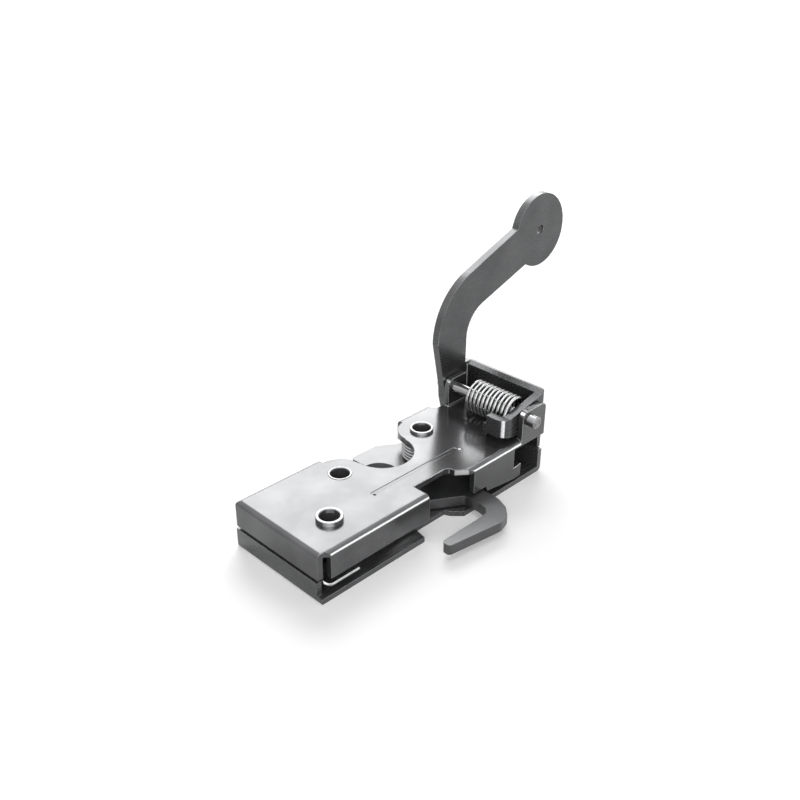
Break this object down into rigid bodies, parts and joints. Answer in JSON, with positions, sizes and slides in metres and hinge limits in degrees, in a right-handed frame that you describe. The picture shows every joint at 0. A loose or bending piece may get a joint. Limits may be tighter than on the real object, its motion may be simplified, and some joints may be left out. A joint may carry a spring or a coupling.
{
  "type": "rotary door latch",
  "caption": "Rotary claw latch in a bent sheet housing with an open mouth for a striker, a hooked trigger plate and a spring-returned angled release lever on upturned ears.",
  "frame": {"origin": "axis of the trigger bushing's bore at the mounting face of the bottom plate", "axes": "+Z from the mounting face to the cover, along the bushing bores; +Y toward the open mouth for the striker; +X along the housing toward the release lever"},
  "size_m": [0.1657, 0.0651, 0.09],
  "materials": {
    "cover_plating": "satin plated",
    "plate_plating": "satin plated",
    "lever_plating": "satin plated",
    "mechanism_steel": "ground",
    "bushing_steel": "turned",
    "pin_steel": "polished",
    "spring_wire": "bright drawn"
  },
  "bodies": {
    "housing": {"bottom_plate": "plate_plating", "top_cover": "cover_plating", "trigger_bushing": "bushing_steel", "spacer_bushing": "bushing_steel", "claw_bushing": "bushing_steel", "claw_spring": "spring_wire", "trigger_spring": "spring_wire", "lever_pin": "pin_steel", "lever_spring": "spring_wire"},
    "claw_plate": {"claw": "mechanism_steel"},
    "trigger_plate": {"trigger": "mechanism_steel"},
    "release_lever": {"lever": "lever_plating"}
  },
  "joints": [
    {"name": "lever_pivot", "type": "hinge", "parent": "housing", "child": "release_lever", "pos_m": [0.0847, 0, 0.0257], "axis": [0, -1, 0], "range_deg": [0, 11], "stiffness_Nm_per_rad": 0.06, "springref_deg": -68.75},
    {"name": "trigger_pivot", "type": "hinge", "parent": "housing", "child": "trigger_plate", "pos_m": [0, 0, 0], "axis": [0, 0, -1], "range_deg": [0, 3.85], "stiffness_Nm_per_rad": 0.1, "springref_deg": -28.65},
    {"name": "claw_pivot", "type": "hinge", "parent": "housing", "child": "claw_plate", "pos_m": [0.0614, 0.0182, 0], "axis": [0, 0, -1], "range_deg": [0, 55]}
  ],
  "couplings": [
    {"joint": "trigger_pivot", "follows": "lever_pivot", "ratio": 0.35},
    {"joint": "claw_pivot", "follows": "lever_pivot", "ratio": 5}
  ]
}
